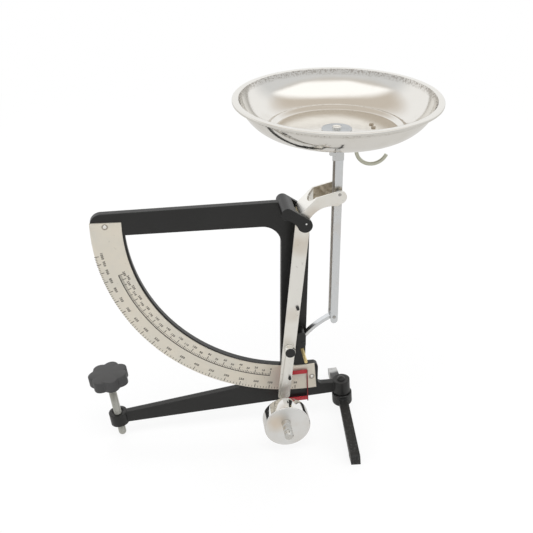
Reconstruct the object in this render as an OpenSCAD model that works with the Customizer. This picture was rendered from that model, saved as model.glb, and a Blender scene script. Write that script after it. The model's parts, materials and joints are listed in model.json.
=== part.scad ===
// Lever balance: a quadrant frame, a bell-crank lever with a swinging weight, and a pan on an upright post.
// X runs along the frame, Y across it and Z up. The origin is on the ground, at the middle of the outline.
// The lever's own middle plane is y = 0, and every part is drawn with the pan empty.

/* [Main pivot] */
// Height of the lever's pivot above the ground
pivot_h = 193.5; // [190:0.5:215]
// Diameter of the main pivot pin
pivot_d = 2.4; // [2:0.1:3]
// Outer diameter of the sleeve that spaces the lever's two cheeks
sleeve_d = 5; // [4:0.1:6]

/* [Frame casting] */
// Thickness of the cast plate
frame_t = 5.5; // [4.5:0.1:6]
// Distance of the casting's front face behind the lever's middle plane
frame_back = 4; // [3.8:0.1:4.3]
// Depth of the quadrant's own centre below the pivot
arc_drop = 1.4; // [0:0.1:2]
// Inner radius of the quadrant
arc_in = 134.8; // [128:0.1:135]
// Outer radius of the quadrant
arc_out = 158.2; // [156:0.1:162]
// Depth of the top bar below the pivot's level
top_bar_low = 9; // [8.8:0.1:12]
// Height of the top bar above the pivot's level
top_bar_high = 8.8; // [7:0.1:10]
// Radius of the top bar's outer corner
top_corner_r = 8.5; // [3:0.5:8.5]
// Distance of the upright's left edge from the pivot
upright_left = 16; // [12:0.5:20]
// Distance of the upright's right edge from the pivot, at the top
upright_right = 5.7; // [4:0.1:6.5]
// Narrowing of the upright's right edge down to the quadrant
upright_taper = 1.5; // [0:0.1:2]
// Radius of the fillet between the top bar and the upright
window_fillet = 15; // [4:0.5:18]
// Reach of the quadrant's end beyond the pivot
sector_right = 15; // [14:0.5:17]
// Radius of the quadrant's outer corners
sector_corner = 4; // [2:0.5:6]

/* [Base bar] */
// Distance of the swivel bolt's axis beyond the pivot
swivel_x = 35.4; // [34.5:0.1:40]
// Height of the swivel boss's top above the ground
swivel_top = 37.5; // [36:0.5:39]
// Diameter of the swivel boss
swivel_boss_d = 14.3; // [12:0.1:16]
// Height of the swivel boss
swivel_boss_h = 12.5; // [10:0.5:13]
// Lean of the swivel bolt, its top to the left
swivel_lean = 4.5; // [0:0.5:6]
// Depth of the bar's upper edge below the swivel boss's top
bar_step = 1.2; // [1:0.1:2]
// Height of the bar's lower edge above the ground, under the swivel boss
bar_low_h = 27.2; // [26:0.1:29]
// Slope of the bar's lower edge
bar_low_slope = 4.3; // [3:0.1:5]
// Height of the bar at the levelling boss
level_bar_h = 9; // [6:0.1:9]
// Height of the bar where its upper edge runs into the quadrant
meet_bar_h = 18.6; // [17:0.1:19]
// Distance of the levelling boss's centre from the pivot
level_x = 150.5; // [145:0.5:156]
// Diameter of the levelling boss
level_boss_d = 15; // [13:0.1:17]
// Height of the levelling boss
level_boss_h = 10.5; // [9:0.1:12]
// Lean of the levelling screw, its top away from the pivot
level_lean = 7.2; // [4:0.1:9]
// Diameter of the recess round the screw
level_recess_d = 9.4; // [8:0.1:11]

/* [Clevis] */
// Thickness of each ear
ear_t = 3.4; // [2.5:0.1:4]
// Radius of each ear round the pivot
ear_r = 5.4; // [4.5:0.1:6]
// Radius of each ear's upper end
ear_root_r = 4.7; // [4:0.1:5.5]
// Distance of the ear's upper end to the left of the pivot
ear_root_x = 14; // [12:0.1:15]
// Height of the ear's upper end above the pivot
ear_root_z = 8.3; // [8:0.1:9.5]
// Right end of the bridge between the ears, to the left of the pivot
bridge_right = 7.5; // [7:0.1:9]
// Thickness of the bridge
bridge_t = 4.7; // [3:0.1:4.9]
// Clearance at the sides of the lever in the clevis
lever_side_gap = 0.7; // [0.3:0.1:1]

/* [Scale plate] */
// Thickness of the scale plate
scale_t = 1; // [0.6:0.1:1.2]
// Inner radius of the scale plate
scale_in = 135.2; // [135:0.1:138]
// Outer radius of the scale plate
scale_out = 158.5; // [156:0.1:161]
// Angle of the plate's upper end, about the quadrant's centre
scale_start = 178.6; // [177:0.1:179]
// Angle of the plate's lower end, about the quadrant's centre
scale_end = 275; // [273:0.5:275]
// Diameter of the plate's rivets
rivet_d = 2; // [1.5:0.1:2.5]
// Diameter of the rivets' heads
rivet_head_d = 3.2; // [2.8:0.1:4]
// Angle from a plate's end to its rivet
rivet_inset = 1.2; // [1.1:0.1:2]

/* [Lever] */
// Thickness of the lever's sheet
lever_t = 1.5; // [1:0.1:1.8]
// Outer width of the lever's channel
lever_w = 21; // [19:0.1:22]
// Lean of the pendulum strip at zero, its lower end to the left
strip_lean = 5; // [4:0.1:6]
// Offset of the strip's centre line from the pivot
strip_offset = 1.8; // [1:0.1:2.2]
// Width of the strip at the pivot
strip_w_top = 11.4; // [10.6:0.1:12]
// Width of the strip at its lower end
strip_w_low = 9.4; // [8.6:0.1:10]
// Length of the strip below the pivot
strip_len = 158; // [150:1:160]
// Distance of the fork pin to the right of the pivot
fork_x = 25.2; // [24:0.1:27]
// Height of the fork pin above the pivot
fork_z = 20.2; // [18.5:0.1:22]
// Radius of the fork's rounded ends
fork_r = 5; // [4.6:0.1:5.2]
// Diameter of the fork pin and the link's two pins
pin_d = 2.4; // [2:0.1:2.6]

/* [Pointer] */
// Height of the pointer's sheet arms
pointer_h = 3.4; // [2.6:0.1:5]
// Thickness of the pointer's sheet
pointer_t = 0.8; // [0.5:0.1:1]
// Width of the pointer's spine behind the strip
pointer_spine_w = 6; // [5:0.1:8]
// Diameter of the pointer's wire
pointer_wire_d = 0.9; // [0.6:0.1:1.2]
// Angle of the wire at zero, about the pivot
pointer_angle = 272.2; // [271:0.1:273]
// Gap between the wire and the scale plate
pointer_gap = 1.6; // [1.5:0.1:2]
// Distance of the wire's upper end inside the scale plate's inner edge
pointer_in = 4; // [2:0.5:6]
// Reach of the wire beyond the scale plate's outer edge
pointer_over = 11.5; // [10:0.5:13]

/* [Range stud and stops] */
// Distance of the range stud below the pivot
stud_z = 110.6; // [108:0.1:114]
// Diameter of the range stud's head
stud_d = 8.5; // [6.5:0.1:9]
// Height of the range stud's head in front of the weight arm
stud_h = 4.3; // [2.5:0.1:4.6]
// Diameter of the stud's shank
stud_shank_d = 4; // [3:0.1:5]
// Thickness of the black cap on the stud
stud_cap_t = 0.5; // [0.3:0.1:0.8]
// Diameter of the stop pins
stop_d = 2.4; // [1.6:0.1:2.6]
// Angle through which the weight arm swings over between its stops
flip_angle = 178; // [176:0.5:180]
// Distance from the stud to the upper stop pin
stop_up = 37.5; // [30:0.5:40]
// Distance from the stud to the lower stop pin
stop_down = 27.5; // [24:0.5:30]
// Diameter of the lever's brass stop pin
brass_d = 2.5; // [2:0.1:3]
// Length of the brass stop pin in front of the casting
brass_len = 19.5; // [18:0.5:21]
// Distance of the brass stop pin below the pivot
brass_z = 121.2; // [120.5:0.1:123]
// Distance of the brass stop pin to the right of the pivot
brass_x = 1.4; // [1:0.1:2.5]

/* [Weight] */
// Length of the weight arm between the stud and the spindle
arm_len = 54.3; // [50:0.1:56]
// Lean of the weight arm, its lower end to the left
arm_lean = 6.3; // [5:0.1:7]
// Width of the weight arm
arm_w = 4.4; // [3.6:0.1:4.8]
// Thickness of the weight arm
arm_t = 1.5; // [1:0.1:2]
// Radius of the arm's end behind the drum
arm_end_r = 6.5; // [5.6:0.1:8]
// Diameter of the collar between the arm and the drum
collar_d = 11; // [9:0.1:12]
// Length of the collar
collar_len = 8.9; // [5:0.1:10]
// Diameter of the grooved spindle
spindle_d = 7; // [6:0.1:8]
// Length of the spindle in front of the drum
spindle_len = 18; // [12:0.5:20]
// Depth of the spindle's two grooves
groove_depth = 0.9; // [0.4:0.1:1.2]
// Width of each groove
groove_w = 2.2; // [1.4:0.1:2.6]
// Diameter of the drum
drum_d = 37; // [33:0.5:38]
// Thickness of the drum
drum_t = 13.6; // [12:0.1:18]
// Distance of the drum's centre from the spindle
drum_ecc = 4; // [3:0.1:7]
// Direction of the drum's centre from the spindle
drum_turn = 289; // [270:1:290]
// Bevel of the drum's edges
drum_bevel = 0.8; // [0.3:0.1:1.5]

/* [Post] */
// Width of the post's channel, front to back
post_w = 10.4; // [10:0.1:11]
// Depth of the post's channel, left to right
post_x = 5.7; // [5.4:0.1:6.5]
// Thickness of the post's sheet
post_t = 1; // [0.8:0.1:1.2]
// Distance between the fork pin and the lower pin
post_pins = 107.8; // [104:0.1:110]
// Length of the post below its lower pin
post_tail = 5.6; // [4:0.1:7]
// Width of the head bracket, left to right
head_x = 8.4; // [8:0.1:10]
// Height of the head bracket
head_h = 21; // [16:0.5:24]
// Thickness of the head bracket
head_t = 1; // [0.8:0.1:1.2]

/* [Lower link] */
// Width of the link's channel
link_w = 5; // [4.6:0.1:7.2]
// Thickness of the link's sheet
link_t = 0.9; // [0.8:0.1:1]
// Height of the link's curved channel
link_h = 2.4; // [2:0.1:3.4]
// Rise of the link's curve above a straight line between its pins
link_rise = 2; // [1:0.1:2.6]
// Radius of the link's eye at the post
link_r = 2.5; // [2.4:0.1:3]
// Radius of the link's eye at the frame
link_root_r = 2.7; // [2.5:0.1:3]
// Half width of the frame's lug in front of the link
lug_r = 3.6; // [3.4:0.1:4.2]
// Distance of the lug's centre line to the left of the link's pin
lug_shift = 1.3; // [0.8:0.1:1.6]
// Height of the lug's top above the link's pin
lug_up = 9.4; // [8:0.1:10]
// Depth of the lug's lower end below the link's pin
lug_down = 5.2; // [5:0.1:5.6]
// Thickness of the frame's lug
lug_t = 3; // [2:0.1:3.2]
// Clearance between the link and the lug
lug_gap = 2.5; // [1:0.1:3]

/* [Pan] */
// Radius of the pan's rim
pan_r = 75; // [70:0.5:80]
// Depth of the pan inside
pan_depth = 24; // [22:0.5:27]
// Thickness of the pan's sheet
pan_t = 0.6; // [0.5:0.1:1]
// Radius of the pan's flat floor
pan_floor_r = 43.5; // [38:0.5:46]
// Fullness of the pan's wall, from straight to round
pan_bulge = 0.6; // [0.3:0.05:0.8]
// Width of the pan's flat flange
flange_w = 4.7; // [3:0.1:6]
// Height of the flange's turned-down lip
lip_h = 1.8; // [1.2:0.1:3]
// Height of the pan's rim above the pivot
pan_rim = 91; // [88:0.5:95]
// Distance of the pan's centre to the left of the post's pins
pan_shift = 1.7; // [1:0.1:2]
// Diameter of the disc under the pan's screw
pan_disc_d = 22; // [16:0.5:26]
// Thickness of the disc
pan_disc_t = 0.8; // [0.5:0.1:1.2]
// Diameter of the pan's screw
pan_screw_d = 4; // [3:0.5:4]

/* [Hook] */
// Diameter of the hook's wire
hook_wire = 2.8; // [1.8:0.1:3.2]
// Radius of the hook's bend, to the middle of the wire
hook_r = 11.9; // [9:0.1:12.5]
// Distance of the hook's bend from the pan's centre
hook_x = 26.8; // [25:0.1:29]
// Drop of the hook's bend below the pan
hook_drop = 15.5; // [14:0.1:17]
// Angle of the hook's open end above its lowest point
hook_sweep = 65; // [50:1:75]
// Width of the strap that carries the hook
strap_w = 12; // [11:0.1:13]
// Thickness of the strap
strap_t = 1; // [0.8:0.1:1.5]
// Distance between the strap's rivets
strap_rivets = 6.4; // [5:0.1:7]
// Distance of the strap's middle behind the hook
strap_back = 3; // [2:0.1:3.4]

/* [Cross foot] */
// Length of the front leg from its bolt
foot_front = 65.5; // [58:0.5:68]
// Length of the rear leg from its bolt
foot_rear = 61.5; // [58:0.5:68]
// Width of the foot's legs
foot_w = 7.6; // [6:0.1:9]
// Diameter of the foot's hub
hub_d = 16.6; // [16:0.1:18]
// Height of the foot's hub
hub_h = 11; // [10:0.1:13]
// Radius of the hub's rounded lower edge
hub_round = 2.4; // [1:0.1:2.6]
// Depth of the legs' upper edge below the hub's top
leg_drop = 3; // [0.5:0.1:4]
// Height of the front leg's end
toe_h = 8.6; // [6:0.1:10]
// Height of the rear leg's end
rear_toe_h = 7.2; // [6:0.1:10]
// Length of each leg's flat sole
toe_len = 9; // [6:0.5:12]
// Turn of the foot on its bolt, seen from above
foot_turn = 2.5; // [0:0.1:5]
// Diameter of the swivel bolt
bolt_d = 5; // [4:0.1:6]
// Diameter of the bolt's domed head
bolt_head_d = 7.4; // [6.6:0.1:9]
// Height of the bolt's domed head
bolt_head_h = 2.6; // [1.5:0.1:3]
// Thickness of the washer under the hub
washer_t = 1; // [0.6:0.1:1.2]
// Thickness of the nut under the hub
nut_h = 4; // [3:0.1:5]

/* [Levelling screw] */
// Diameter of the levelling screw
screw_d = 6; // [5:0.1:7]
// Diameter of the star knob
knob_d = 32; // [28:0.5:36]
// Thickness of the star knob
knob_h = 10.1; // [7:0.1:11]
// Height of the knob's top above the ground
knob_top = 62.4; // [58:0.1:66]
// Radius of each lobe of the knob
lobe_r = 4.8; // [4:0.1:5.5]
// Turn of the knob's first lobe
knob_turn = 180; // [160:1:210]

/* [Fits] */
// Radial clearance of a turning fit
run = 0.06; // [0.04:0.01:0.1]
// Radial clearance of a fixed pin in its hole
seat = 0.02; // [0.01:0.01:0.05]
// Clearance between sliding faces
slip = 0.3; // [0.2:0.05:0.4]

/* [Hidden] */
$fn = 96;

// Casting planes
frame_y0 = frame_back;
frame_y1 = frame_back + frame_t;
frame_mid = frame_back + frame_t / 2;
pivot_clear_r = 9;
quadrant_start = 182;
quadrant_end = scale_end;
// Offset of the window's round edge from the quadrant's centre
window_shift = [1.4, -0.4];
// Height of the quadrant's end under the pivot
end_z = -arc_in - arc_drop;
// How far the bar and the upright run into the quadrant's ring
bar_overlap = 8;
// Rise of the top bar towards the clevis
top_bar_rise = 1.6;
// Heights below the pivot between which the upright starts to narrow, and its foot above the quadrant
upright_top = 8;
upright_shoulder = 16;
upright_foot = 14;
// Lower end of the ears, and the scoop under them
ear_low = [-0.6, -1.6];
ear_scoop = [-18, -9];
ear_scoop_r = 13.3;
// Depth of the blind holes for pins and rivets
pin_seat_depth = 3.5;
rivet_seat_depth = 3;
// Run of a cut past the face that it opens
past = 1;

// Base bar, in heights relative to the pivot
ground = -pivot_h;
swivel_z1 = ground + swivel_top;
bar_top_z = swivel_z1 - bar_step;
bar_low_z = ground + bar_low_h;
function low_edge(x) = bar_low_z + (x - swivel_x) * tan(bar_low_slope);
// Where the bar's upper edge runs into the quadrant
bar_meet_x = -43;
bar_meet_z = low_edge(bar_meet_x) + meet_bar_h;
level_z = low_edge(-level_x) + level_bar_h / 2;
// The ground along the swivel bolt's axis, from the boss's top
sole_s = -swivel_top / cos(swivel_lean);

// Levelling screw, along its leaning axis from the boss's centre
function along_screw(z) = (z - level_z) / cos(level_lean);
screw_tip_r = screw_d / 2;
tip_s = along_screw(ground + screw_tip_r);
knob_s = along_screw(ground + knob_top);
lobes = 7;
lobe_ring = knob_d / 2 - lobe_r;
knob_core_r = lobe_ring + lobe_r * 0.35;

// Ring on which the plate's rivets sit, about the quadrant's centre
rivet_r = (scale_in + scale_out) / 2 + rivet_d / 4;

// Lever, clevis and drum planes
cheek_y1 = lever_w / 2;
cheek_y0 = cheek_y1 - lever_t;
lever_mid_y = cheek_y1 - lever_t / 2;
ear_y0 = cheek_y1 + lever_side_gap;
ear_y1 = ear_y0 + ear_t;
arm_y1 = -cheek_y1 - slip;
arm_y0 = arm_y1 - arm_t;
drum_y1 = arm_y0 - collar_len - slip;
drum_y0 = drum_y1 - drum_t;
strip_x0 = -strip_offset;
// Bevel at the corners of the strip's lower end
strip_bevel = 1.3;
function strip_x(z) = strip_x0 + z * tan(strip_lean);
function strip_half(z) = (strip_w_top + (strip_w_low - strip_w_top) * (-z) / strip_len) / 2;
stud_x = strip_x(-stud_z);
arm_dir = [-sin(arm_lean), -cos(arm_lean)];
arm_side = [cos(arm_lean), -sin(arm_lean)];
spindle_xz = [stud_x, -stud_z] + arm_len * arm_dir;
drum_xz = spindle_xz + drum_ecc * [cos(drum_turn), sin(drum_turn)];
stop_side = arm_w / 2 + stop_d / 2 + 0.1;
stop_low_xz = [stud_x, -stud_z] + stop_down * arm_dir + stop_side * arm_side;
flip_dir = [-sin(arm_lean + flip_angle), -cos(arm_lean + flip_angle)];
flip_side = [cos(arm_lean + flip_angle), -sin(arm_lean + flip_angle)];
stop_high_xz = [stud_x, -stud_z] + stop_up * flip_dir - stop_side * flip_side;

// Bell crank outline
crank_top = [fork_x + 0.4, fork_z - 2.2];
web_top = [8, 18.5];
web_low = [-4.5, 5.5];
web_r = 5.2;
crank_low = [-0.6, 0.4];
crank_mid = [1.2, 3.2];
crank_hollow = [19.6, -7.5];
crank_hollow_r = 19;
// Round notch in the web, its depth and its clearance at the cheeks
notch_in = 1;
notch_side = 0.6;

// Pins of the parallelogram
fork_xz = [fork_x, fork_z];
link_xz = [0, -post_pins];
post_link_xz = fork_xz + link_xz;
link_vec = post_link_xz - link_xz;
link_turn = atan2(link_vec[1], link_vec[0]);
link_len = norm(link_vec);
link_bow_r = (pow(link_len / 2, 2) + pow(link_rise, 2)) / (2 * link_rise);
// Directions of the link at the two ends of the lever's swing
link_high = link_turn + 5;
link_low = link_turn - 86;
lug_top = link_xz + [-lug_shift, lug_up - lug_r];
lug_foot = link_xz + [-lug_shift, lug_r - lug_down];
lug_y1 = -link_w / 2 - lug_gap;
lug_y0 = lug_y1 - lug_t;

// Post, head bracket and pan
post_x1 = fork_x + post_x / 2;
post_x0 = fork_x - post_x / 2;
pan_x = fork_x - pan_shift;
pan_low = pan_rim - pan_depth - pan_t;
head_x1 = post_x1 + slip / 2;
head_x0 = head_x1 - head_x;
head_flange = 13;
// Tab on the head's left side, and the slot through its cheeks
head_tab = [1.8, 4, 4];
head_slot = [4.4, 1.8];
head_slot_drop = 9;
pan_nut_h = 3.2;
screw_head_h = 1.5;
screw_slot_w = 0.9;
post_top = pan_low - head_t - pan_nut_h - slip;

// Hook
hook_z = pan_low - hook_drop;
strap_x0 = pan_x + hook_x - hook_r - 4;
strap_x1 = pan_x + hook_x + 4;

// Cross foot, along the swivel bolt's axis from the boss's top
hub_z1 = -swivel_boss_h - slip;
hub_z0 = hub_z1 - hub_h;
nut_pocket = washer_t + nut_h + 1;
washer_z1 = hub_z0 + nut_pocket - slip / 2;

// Pointer
wire_y = frame_y0 - scale_t - pointer_gap;
wire_r1 = scale_out + arc_drop + pointer_over;
wire_r0 = scale_in + arc_drop + pointer_in;
wire_dir = [cos(pointer_angle), sin(pointer_angle)];
spine_y1 = -cheek_y0 + pointer_t;
// Start and end of the joggle that brings the pointer's arms back towards the plate
joggle_start = 0.6;
joggle_end = 4.6;

// Outline, to place the origin
left_reach = -level_x - knob_s * sin(level_lean) - knob_d / 2 * cos(level_lean);
right_reach = pan_x + pan_r;
pivot_x = -(left_reach + right_reach) / 2;

// Extrudes a drawing in X and Z from y0 to y1
module slab(y0, y1) {
    translate([0, y1, 0]) rotate([90, 0, 0]) linear_extrude(y1 - y0) children();
}

// A round bar along Y
module rod(xz, d, y0, y1) {
    translate([xz[0], y1, xz[1]]) rotate([90, 0, 0]) cylinder(d = d, h = y1 - y0);
}

// A bar with two round ends, its sides tangent to both
module tangent_bar(p, rp, q, rq) {
    v = q - p;
    len = norm(v);
    a = atan2(v[1], v[0]);
    b = acos((rp - rq) / len);
    translate(p) circle(r = rp);
    translate(q) circle(r = rq);
    polygon([
        p + rp * [cos(a + b), sin(a + b)],
        p + rp * [cos(a - b), sin(a - b)],
        q + rq * [cos(a - b), sin(a - b)],
        q + rq * [cos(a + b), sin(a + b)]
    ]);
}

// A sector of the quadrant's ring between two angles
module sector(r0, r1, a0, a1, shift = [0, 0]) {
    far = 2 * r1;
    mid = (a0 + a1) / 2;
    translate([0, -arc_drop]) intersection() {
        difference() {
            circle(r = r1, $fn = 240);
            translate(shift) circle(r = r0, $fn = 240);
        }
        polygon([[0, 0], far * [cos(a0), sin(a0)], far * [cos(mid), sin(mid)], far * [cos(a1), sin(a1)]]);
    }
}

// The corner between two square edges, filled out to a concave radius
module corner_fill(p, sx, sz, r) {
    translate(p) difference() {
        translate([min(0, sx * r), min(0, sz * r)]) square(r);
        translate([sx * r, sz * r]) circle(r = r);
    }
}

module place() {
    translate([pivot_x, 0, pivot_h]) children();
}

module frame_outline() {
    sector(arc_in, arc_out, quadrant_start, quadrant_end, window_shift);
    // Top bar
    difference() {
        union() {
            polygon([[-arc_out, top_bar_high - top_corner_r], [-arc_out + top_corner_r, top_bar_high],
                [-bridge_right - 1, top_bar_high + top_bar_rise], [-bridge_right - 1, -top_bar_low],
                [-arc_in + bar_overlap, -top_bar_low], [-arc_out + 0.4, -top_bar_low]]);
            translate([-arc_out + top_corner_r, top_bar_high - top_corner_r]) circle(r = top_corner_r);
            // Upright
            polygon([[-upright_left, 0], [upright_right, -upright_top], [upright_right, -upright_shoulder],
                [upright_right - upright_taper, upright_foot - arc_in],
                [upright_right - upright_taper, -arc_in - bar_overlap],
                [-upright_left, -arc_in - bar_overlap]]);
        }
        circle(r = pivot_clear_r);
    }
    corner_fill([-upright_left, -top_bar_low], -1, -1, window_fillet);
    // End of the quadrant
    polygon([[0, end_z], [sector_right - sector_corner, end_z], [sector_right, end_z - sector_corner],
        [sector_right, low_edge(sector_right)], [0, low_edge(0)]]);
    translate([sector_right - sector_corner, end_z - sector_corner]) circle(r = sector_corner);
    corner_fill([sector_right, bar_top_z], 1, 1, sector_corner);
    // Base bar
    polygon([[-level_x, low_edge(-level_x)], [swivel_x, low_edge(swivel_x)], [swivel_x, bar_top_z],
        [sector_right - 1, bar_top_z], [0, -arc_out + 4], [bar_meet_x, bar_meet_z],
        [-level_x, low_edge(-level_x) + level_bar_h]]);
}

module ear_outline() {
    root = [-ear_root_x, ear_root_z];
    difference() {
        tangent_bar(root, ear_root_r, ear_low, ear_r);
        translate(ear_scoop) circle(r = ear_scoop_r);
    }
}

// Space that the lower link sweeps, about its pin
module link_sweep() {
    r = link_root_r + slip;
    far = 30;
    circle(r = r);
    polygon([
        [0, 0],
        r * [cos(link_high + 90), sin(link_high + 90)],
        r * [cos(link_high + 90), sin(link_high + 90)] + far * [cos(link_high), sin(link_high)],
        far * 2 * [cos(link_high / 2 + link_low / 2), sin(link_high / 2 + link_low / 2)],
        r * [cos(link_low - 90), sin(link_low - 90)] + far * [cos(link_low), sin(link_low)],
        r * [cos(link_low - 90), sin(link_low - 90)]
    ]);
}

module frame_casting() {
    color("#1d1e20") place() difference() {
        union() {
            slab(frame_y0, frame_y1) frame_outline();
            // Clevis round the lever
            slab(ear_y0, ear_y1) ear_outline();
            slab(-ear_y1, -ear_y0) ear_outline();
            slab(-ear_y1, ear_y1) intersection() {
                ear_outline();
                translate([-2 * ear_root_x, ear_root_z + ear_root_r - bridge_t])
                    square([2 * ear_root_x - bridge_right, 2 * bridge_t]);
            }
            // Lug in front of the link, joined to the plate beside the link's sweep
            slab(lug_y0, lug_y1) tangent_bar(lug_top, lug_r, lug_foot, lug_r);
            slab(lug_y0, frame_y0 + 0.5) difference() {
                tangent_bar(lug_top, lug_r, lug_foot, lug_r);
                translate(link_xz) link_sweep();
            }
            // Bosses at the two ends of the base bar
            translate([swivel_x, frame_mid, swivel_z1]) rotate([0, -swivel_lean, 0])
                translate([0, 0, -swivel_boss_h]) cylinder(d = swivel_boss_d, h = swivel_boss_h);
            translate([-level_x, frame_mid, level_z]) rotate([0, -level_lean, 0])
                translate([0, 0, -level_boss_h / 2]) cylinder(d = level_boss_d, h = level_boss_h);
        }
        rod([0, 0], pivot_d + 2 * seat, -ear_y1 - 1, ear_y1 + 1);
        rod(link_xz, pin_d + 2 * seat, lug_y0 - 1, frame_y1 + 1);
        rod([brass_x, -brass_z], brass_d + 2 * seat, frame_y0 - past, frame_y0 + pin_seat_depth);
        for (xz = rivet_spots()) rod(xz, rivet_d + 2 * seat, frame_y0 - past, frame_y0 + rivet_seat_depth);
        translate([swivel_x, frame_mid, swivel_z1]) rotate([0, -swivel_lean, 0])
            translate([0, 0, -swivel_boss_h - 1]) cylinder(d = bolt_d + 2 * seat, h = swivel_boss_h + 2);
        translate([-level_x, frame_mid, level_z]) rotate([0, -level_lean, 0]) {
            translate([0, 0, -level_boss_h / 2 - past])
                cylinder(d = screw_d + 2 * run, h = level_boss_h + 2 * past);
            translate([0, 0, level_boss_h / 2 - 1]) cylinder(d = level_recess_d, h = 3);
        }
    }
}

function rivet_spots() = [for (a = [scale_start + rivet_inset, scale_end - rivet_inset])
    rivet_r * [cos(a), sin(a)] - [0, arc_drop]];

module main_pivot_pin() {
    color("silver") place() rod([0, 0], pivot_d, -ear_y1 - 0.1, ear_y1 + 0.1);
}

module link_pivot_pin() {
    color("silver") place() rod(link_xz, pin_d, lug_y0 - 0.1, frame_y1);
}

module brass_stop_pin() {
    color("#b89a4a") place()
        rod([brass_x, -brass_z], brass_d, frame_y0 - brass_len, frame_y0 + pin_seat_depth - 0.1);
}

module scale_plate() {
    color("#cfcabb") place() difference() {
        slab(frame_y0 - scale_t, frame_y0) sector(scale_in, scale_out, scale_start, scale_end);
        for (xz = rivet_spots()) rod(xz, rivet_d + 2 * seat, frame_y0 - scale_t - past, frame_y0 + past);
    }
}

module scale_rivets() {
    color("#d8d4c8") place() for (xz = rivet_spots()) {
        rod(xz, rivet_d, frame_y0 - scale_t - 0.2, frame_y0 + rivet_seat_depth - 0.2);
        translate([xz[0], frame_y0 - scale_t, xz[1]]) rotate([90, 0, 0]) rotate_extrude()
            intersection() {
                translate([0, -1.4]) circle(r = rivet_head_d / 2 + 0.5);
                square([rivet_head_d / 2, 0.7]);
            }
    }
}

module at_bolt() {
    place() translate([swivel_x, frame_mid, swivel_z1]) rotate([0, -swivel_lean, 0]) children();
}

module swivel_bolt() {
    low = washer_z1 - washer_t - nut_h - 0.4;
    r = (pow(bolt_head_d / 2, 2) + pow(bolt_head_h, 2)) / (2 * bolt_head_h);
    color("silver") at_bolt() {
        translate([0, 0, low]) cylinder(d = bolt_d, h = 0.2 - low);
        rotate_extrude() intersection() {
            translate([0, bolt_head_h - r]) circle(r = r);
            square([bolt_head_d / 2 + 1, bolt_head_h]);
        }
    }
}

module swivel_washer() {
    color("silver") at_bolt() translate([0, 0, washer_z1 - washer_t]) difference() {
        cylinder(d = bolt_d * 2, h = washer_t);
        translate([0, 0, -1]) cylinder(d = bolt_d + 2 * seat, h = washer_t + 2);
    }
}

module swivel_nut() {
    color("silver") at_bolt() translate([0, 0, washer_z1 - washer_t - nut_h]) difference() {
        cylinder(d = bolt_d * 1.6 / cos(30), h = nut_h, $fn = 6);
        translate([0, 0, -1]) cylinder(d = bolt_d + 2 * seat, h = nut_h + 2);
    }
}

// Side of one leg, running out along X from the bolt's axis
module foot_side(reach, end_h) {
    toe_top = sole_s + end_h;
    hub_top = hub_z1 - leg_drop;
    hub_bottom = hub_z0 + hub_round;
    polygon([[hub_d / 2 - 1.5, hub_top], [hub_d / 2, hub_top], [reach - 1.2, toe_top],
        [reach, toe_top - 1.2], [reach, sole_s - 2], [reach - toe_len, sole_s - 2],
        [reach - toe_len - 3, sole_s + 2.5], [hub_d / 2 + 4, hub_bottom], [hub_d / 2 - 1.5, hub_bottom]]);
}

module cross_foot() {
    r = hub_d / 2;
    color("#232426") difference() {
        at_bolt() rotate([0, 0, -foot_turn]) difference() {
            union() {
                translate([0, 0, hub_z0]) rotate_extrude() {
                    translate([0, hub_round]) square([r, hub_h - hub_round]);
                    square([r - hub_round, hub_h]);
                    translate([r - hub_round, hub_round]) circle(r = hub_round);
                }
                rotate([0, 0, 90]) slab(-foot_w / 2, foot_w / 2) foot_side(foot_rear, rear_toe_h);
                rotate([0, 0, 270]) slab(-foot_w / 2, foot_w / 2) foot_side(foot_front, toe_h);
            }
            translate([0, 0, hub_z0 - 1]) cylinder(d = bolt_d + 2 * run, h = hub_h + 2);
            // Pocket for the washer and nut
            translate([0, 0, hub_z0 - 1]) cylinder(d = bolt_d * 2 + 1, h = nut_pocket + 1);
        }
        // Soles, level with the ground
        translate([pivot_x + swivel_x - foot_front, -2 * foot_front, -toe_h])
            cube([2 * foot_front, 4 * foot_front, toe_h]);
    }
}

module at_level() {
    place() translate([-level_x, frame_mid, level_z]) rotate([0, -level_lean, 0]) children();
}

module levelling_screw() {
    color("#b9bbb8") at_level() {
        translate([0, 0, tip_s]) sphere(d = screw_d);
        translate([0, 0, tip_s]) cylinder(d = screw_d, h = knob_s - 2.5 - tip_s);
    }
}

module star_knob() {
    color("#2a2a2c") at_level() translate([0, 0, knob_s - knob_h]) difference() {
        linear_extrude(knob_h) {
            circle(r = knob_core_r);
            for (i = [0 : lobes - 1]) rotate(knob_turn + i * 360 / lobes)
                translate([lobe_ring, 0]) circle(r = lobe_r);
        }
        translate([0, 0, -1]) cylinder(d = screw_d + 2 * seat, h = knob_h - 1.5 + seat);
    }
}

module strip_outline() {
    tail = -strip_len + strip_bevel;
    low = strip_half(tail) - strip_bevel;
    polygon([[strip_x(0) - strip_half(0), 0], [strip_x(0) + strip_half(0), 0],
        [strip_x(tail) + strip_half(tail), tail], [strip_x(tail) + low, -strip_len],
        [strip_x(tail) - low, -strip_len], [strip_x(tail) - strip_half(tail), tail]]);
}

module crank_outline() {
    along = crank_mid - crank_low;
    side = (web_r - 0.12) / norm(along) * [-along[1], along[0]];
    difference() {
        union() {
            tangent_bar(crank_mid, web_r, crank_top, fork_r);
            polygon([web_low, web_top, crank_top + [-0.6, fork_r], crank_top, [0, 0]]);
            // Round of the crank on the pivot
            translate(crank_low) circle(r = web_r);
            polygon([crank_low + side, crank_mid + side, crank_mid - side, crank_low - side]);
        }
        // Hollow under the arm
        translate(crank_hollow) circle(r = crank_hollow_r);
    }
}

module web_outline() {
    d = (web_top - web_low) / norm(web_top - web_low);
    n = [d[1], -d[0]];
    polygon([web_low, web_top, web_top + lever_t * n, web_low + lever_t * n]);
}

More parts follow.
